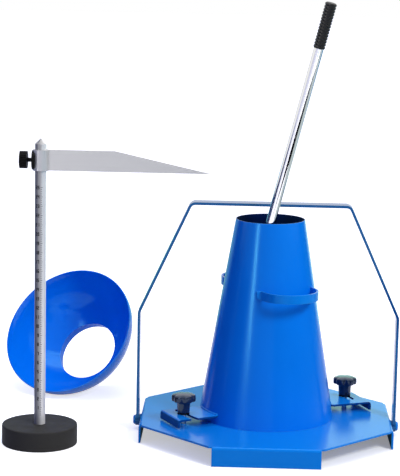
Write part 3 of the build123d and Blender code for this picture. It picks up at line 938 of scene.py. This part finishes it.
# Beads lie where the feet and the handles' ends meet the cone's wall.
def makeBeads():
    footDims = {
        "level": 43.0,
        "spread": 15.5,
        "radius": 1.5,
        "proud": 0.3,
        "rows": 140,
        "azimuths": {"right": 22.0, "left": 208.0},
    }
    handleDims = {
        "low": 219.5,
        "high": 230.5,
        "ends": 43.4,
        "radius": 1.1,
        "proud": 0.4,
        "rows": 50,
        "azimuths": {"front": -62.0, "rear": 118.0},
    }
    reach = wallRadius(footDims["level"]) + footDims["proud"]
    sweep = np.radians(np.linspace(-footDims["spread"], footDims["spread"], footDims["rows"]))
    for side, azimuth in footDims["azimuths"].items():
        turn = math.radians(azimuth) + sweep
        level = np.full_like(turn, footDims["level"] + footDims["proud"])
        path = np.stack((reach * np.cos(turn), reach * np.sin(turn), level), axis=-1)
        makeBead("footBead." + side, path, footDims["radius"], "cone")
    level = np.linspace(handleDims["low"], handleDims["high"], handleDims["rows"])
    reach = wallRadius(level) + handleDims["proud"]
    for name, azimuth in handleDims["azimuths"].items():
        for side, sign in (("A", -1.0), ("B", 1.0)):
            turn = math.radians(azimuth + sign * handleDims["ends"])
            path = np.stack((reach * math.cos(turn), reach * math.sin(turn), level), axis=-1)
            makeBead("handleBead." + name + side, path, handleDims["radius"], "cone")


makeBeads()
print("weld beads made")


# Stage surface that only mirrored rays meet: a card or flag of even shade.
def addCard(name, points, faces, shade):
    mesh = bpy.data.meshes.new(name)
    mesh.from_pydata((points * mm).tolist(), [], faces)
    material = bpy.data.materials.new(name)
    material.use_nodes = True
    tree = material.node_tree
    tree.nodes.remove(tree.nodes["Principled BSDF"])
    glow = addNode(tree, "ShaderNodeEmission", None, {"Color": (*shade, 1.0), "Strength": 1.0})
    tree.links.new(glow.outputs["Emission"], tree.nodes["Material Output"].inputs["Surface"])
    mesh.materials.append(material)
    card = bpy.data.objects.new(name, mesh)
    bpy.context.scene.collection.objects.link(card)
    card.visible_camera = False
    card.visible_diffuse = False
    card.visible_shadow = False
    card.visible_transmission = False


# Curved panel about an upright axis: a patch between two angles and two heights or reaches.
# Angles are measured from the camera's side, to the right where positive.
def addPanel(name, middle, reach, angles, run, shade):
    steps = 32
    turn = np.radians(np.linspace(angles[0], angles[1], steps + 1))
    side = np.stack((np.sin(turn), -np.cos(turn)), axis=-1)
    low = np.column_stack((middle + reach[0] * side, np.full(steps + 1, run[0])))
    high = np.column_stack((middle + reach[1] * side, np.full(steps + 1, run[1])))
    points = np.stack((low, high), axis=1).reshape(-1, 3)
    here = np.arange(steps) * 2
    faces = np.stack((here, here + 1, here + 3, here + 2), axis=-1)
    addCard(name, points, faces.tolist(), shade)


# Panels round the set, sheets on the floor and cards behind, away from the object, that its gloss
# mirrors.
def makePanels():
    panelDims = {
        "near": 1050.0,
        "far": 1500.0,
        "low": 370.0,
        "tall": 430.0,
        "sheet": 0.3,
        "rod": (30.0, -60.0),
        "cardDepth": 600.0,
        "cardFoot": 60.0,
    }
    near = (panelDims["near"], panelDims["near"])
    far = (panelDims["far"], panelDims["far"])
    low = (0.0, panelDims["low"])
    tall = (0.0, panelDims["tall"])
    sheet = (panelDims["sheet"], panelDims["sheet"])
    middle = np.zeros(2)
    rod = np.array(panelDims["rod"])
    addPanel("leftRim", middle, far, (-166.0, -128.0), tall, (0.25, 0.72, 1.0))
    addPanel("leftFlag", middle, near, (-128.0, -50.0), low, (0.01, 0.03, 0.12))
    addPanel("frontFlag", middle, far, (12.0, 48.0), tall, (0.10, 0.40, 0.55))
    addPanel("rightFlag", middle, far, (48.0, 140.0), tall, (0.01, 0.22, 0.42))
    addPanel("rightRim", middle, far, (140.0, 166.0), tall, (0.25, 0.72, 1.0))
    addPanel("blackSheet", rod, (720.0, 1150.0), (-4.0, 54.0), sheet, (0.004, 0.004, 0.004))
    addPanel("greySheet", rod, (420.0, 1400.0), (52.0, 150.0), sheet, (0.52, 0.60, 0.62))
    addPanel("leftSheet", middle, (520.0, 1050.0), (-116.0, -50.0), sheet, (0.01, 0.03, 0.12))
    for name, inner, outer, top, shade in (
        ("plateRight", 60.0, 420.0, 280.0, (0.90, 1.50, 1.25)),
        ("plateLeft", -60.0, -420.0, 225.0, (0.35, 0.82, 0.70)),
    ):
        across = np.array((inner, outer, outer, inner))
        depth = np.full(4, panelDims["cardDepth"])
        height = np.array((panelDims["cardFoot"], panelDims["cardFoot"], top, top))
        addCard(name, np.column_stack((across, depth, height)), [(0, 1, 2, 3)], shade)


# Pale floor: matt white that keeps the contact shadow, lifted for rays from the eye and, less,
# for mirrored ones, more so far from the object; greyer to rays that have left the object, so
# that little light comes back.
def makeFloor():
    floorDims = {
        "half": 16.0,
        "level": -0.0002,
        "white": (0.93, 0.93, 0.935),
        "grey": (0.45, 0.45, 0.46),
        "near": 0.26,
        "far": 0.85,
        "fade": (0.20, 0.75),
        "mirror": 0.35,
        "middle": (0.26, -0.02, 0.0),
    }
    half = floorDims["half"]
    mesh = bpy.data.meshes.new("studioFloor")
    square = [(-half, -half), (half, -half), (half, half), (-half, half)]
    corners = [(*corner, floorDims["level"]) for corner in square]
    mesh.from_pydata(corners, [], [(0, 1, 2, 3)])
    floor = bpy.data.objects.new("studioFloor", mesh)
    bpy.context.scene.collection.objects.link(floor)
    material, tree, shader = newMaterial("studioWhite", floorDims["white"], 0.0, 1.0, 0.0)
    rays = addNode(tree, "ShaderNodeLightPath")
    shade = addNode(
        tree,
        "ShaderNodeMix",
        {"data_type": "RGBA"},
        {mixA: (*floorDims["white"], 1.0), mixB: (*floorDims["grey"], 1.0)},
    )
    seen = addNode(tree, "ShaderNodeMath", {"operation": "MAXIMUM"})
    through = addNode(tree, "ShaderNodeMath", {"operation": "MAXIMUM"})
    lift = addNode(tree, "ShaderNodeMath", {"operation": "MULTIPLY"})
    mirror = addNode(tree, "ShaderNodeMath", {"operation": "MULTIPLY"}, {1: floorDims["mirror"]})
    place = addNode(tree, "ShaderNodeTexCoord")
    reach = addNode(
        tree, "ShaderNodeVectorMath", {"operation": "DISTANCE"}, {1: floorDims["middle"]}
    )
    fade = spreadNode(tree, floorDims["near"], floorDims["far"], *floorDims["fade"])
    tree.links.new(place.outputs["Object"], reach.inputs[0])
    tree.links.new(reach.outputs["Value"], fade.inputs["Value"])
    tree.links.new(fade.outputs["Result"], lift.inputs[1])
    tree.links.new(rays.outputs["Is Diffuse Ray"], shade.inputs["Factor"])
    tree.links.new(shade.outputs[mixOut], shader.inputs["Base Color"])
    tree.links.new(rays.outputs["Is Camera Ray"], seen.inputs[0])
    tree.links.new(rays.outputs["Is Glossy Ray"], mirror.inputs[0])
    tree.links.new(mirror.outputs["Value"], seen.inputs[1])
    tree.links.new(seen.outputs["Value"], through.inputs[0])
    tree.links.new(rays.outputs["Is Transmission Ray"], through.inputs[1])
    tree.links.new(through.outputs["Value"], lift.inputs[0])
    shader.inputs["Emission Color"].default_value = (1.0, 1.0, 1.0, 1.0)
    tree.links.new(lift.outputs["Value"], shader.inputs["Emission Strength"])
    mesh.materials.append(material)


# White room: full white to the eye; mirrored rays see it dimmer in front of the object; what
# lights the object comes more from the right than from the left, where it is cooler.
def makeRoom():
    roomDims = {
        "left": (0.05, 0.08, 0.43, 1.0),
        "right": (0.70, 0.70, 0.71, 1.0),
        "across": (-0.8, 0.8),
        "front": (0.72, 0.72, 0.72, 1.0),
        "behind": (1.0, 1.0, 1.0, 1.0),
        "inward": (-0.75, 0.15),
        "seen": (1.0, 1.0, 1.0, 1.0),
    }
    world = bpy.data.worlds.new("studioRoom")
    bpy.context.scene.world = world
    world.use_nodes = True
    tree = world.node_tree
    background = tree.nodes["Background"]
    rays = addNode(tree, "ShaderNodeLightPath")
    place = addNode(tree, "ShaderNodeTexCoord")
    parts = addNode(tree, "ShaderNodeSeparateXYZ")
    depth = spreadNode(tree, 0.0, 1.0, *roomDims["inward"])
    width = spreadNode(tree, 0.0, 1.0, *roomDims["across"])
    mix = {"data_type": "RGBA"}
    sides = {mixA: roomDims["left"], mixB: roomDims["right"]}
    lighting = addNode(tree, "ShaderNodeMix", mix, sides)
    ends = {mixA: roomDims["front"], mixB: roomDims["behind"]}
    mirror = addNode(tree, "ShaderNodeMix", mix, ends)
    unseen = addNode(tree, "ShaderNodeMix", mix)
    seen = addNode(tree, "ShaderNodeMix", mix, {mixB: roomDims["seen"]})
    through = addNode(tree, "ShaderNodeMath", {"operation": "MAXIMUM"})
    tree.links.new(place.outputs["Generated"], parts.inputs["Vector"])
    tree.links.new(parts.outputs["Y"], depth.inputs["Value"])
    tree.links.new(parts.outputs["X"], width.inputs["Value"])
    tree.links.new(width.outputs["Result"], lighting.inputs["Factor"])
    tree.links.new(depth.outputs["Result"], mirror.inputs["Factor"])
    tree.links.new(rays.outputs["Is Glossy Ray"], unseen.inputs["Factor"])
    tree.links.new(lighting.outputs[mixOut], unseen.inputs[mixA])
    tree.links.new(mirror.outputs[mixOut], unseen.inputs[mixB])
    tree.links.new(rays.outputs["Is Camera Ray"], through.inputs[0])
    tree.links.new(rays.outputs["Is Transmission Ray"], through.inputs[1])
    tree.links.new(through.outputs["Value"], seen.inputs["Factor"])
    tree.links.new(unseen.outputs[mixOut], seen.inputs[mixA])
    tree.links.new(seen.outputs[mixOut], background.inputs["Color"])
    background.inputs["Strength"].default_value = 1.0


# Soft box: a rectangle aimed at a point; azimuth is measured to the right of the camera's side.
# It lights the object, shows in its gloss, or both.
def addSoftBox(name, lamp):
    light = bpy.data.lights.new(name, "AREA")
    light.shape = "RECTANGLE"
    light.size = lamp["wide"]
    light.size_y = lamp["high"]
    light.energy = lamp["power"]
    light.color = lamp["tint"]
    box = bpy.data.objects.new(name, light)
    bpy.context.scene.collection.objects.link(box)
    turn = math.radians(lamp["azimuth"])
    rise = math.radians(lamp["elevation"])
    away = Vector(
        (math.sin(turn) * math.cos(rise), -math.cos(turn) * math.cos(rise), math.sin(rise))
    )
    box.location = Vector(lamp["aim"]) + lamp["distance"] * away
    box.rotation_euler = away.to_track_quat("Z", "Y").to_euler()
    box.visible_camera = False
    box.visible_diffuse = lamp["lights"]
    box.visible_glossy = lamp["mirrors"]


keyBox = {
    "azimuth": 46.0,
    "elevation": 37.0,
    "distance": 2.6,
    "wide": 0.60,
    "high": 0.60,
    "power": 38.0,
    "aim": (0.0, 0.0, 0.2),
    "lights": True,
    "mirrors": False,
    "tint": (1.0, 1.0, 0.96),
}
topBox = {
    "azimuth": 0.0,
    "elevation": 84.0,
    "distance": 2.2,
    "wide": 1.6,
    "high": 1.2,
    "power": 16.0,
    "aim": (-0.1, 0.0, 0.1),
    "lights": True,
    "mirrors": True,
    "tint": (1.0, 1.0, 1.0),
}
leftStrip = {
    "azimuth": -40.0,
    "elevation": 17.0,
    "distance": 2.3,
    "wide": 0.26,
    "high": 1.2,
    "power": 13.0,
    "aim": (0.0, 0.0, 0.25),
    "lights": False,
    "mirrors": True,
    "tint": (1.0, 1.0, 1.0),
}
makeFloor()
makeRoom()
makePanels()
addSoftBox("keyBox", keyBox)
addSoftBox("topBox", topBox)
addSoftBox("leftStrip", leftStrip)
print("studio made")


# Camera at the photograph's station, from its place and the directions to its right and ahead.
def makeCamera():
    cameraDims = {
        "place": (-0.0394, -2.5846, 0.7300),
        "right": (0.99941, 0.0285, 0.0191),
        "ahead": (-0.02496, 0.98595, -0.16522),
        "lens": 132.45,
        "sensor": 36.0,
    }
    back = -Vector(cameraDims["ahead"]).normalized()
    right = Vector(cameraDims["right"])
    right = (right - right.dot(back) * back).normalized()
    up = back.cross(right)
    data = bpy.data.cameras.new("photoCamera")
    data.lens = cameraDims["lens"]
    data.sensor_width = cameraDims["sensor"]
    data.sensor_fit = "AUTO"
    data.clip_start = 0.05
    data.clip_end = 100.0
    camera = bpy.data.objects.new("photoCamera", data)
    bpy.context.scene.collection.objects.link(camera)
    turn = Matrix((right, up, back)).transposed().to_4x4()
    camera.matrix_world = Matrix.Translation(Vector(cameraDims["place"])) @ turn
    bpy.context.scene.camera = camera


makeCamera()
bpy.context.scene.view_settings.view_transform = "Standard"
print("camera set")
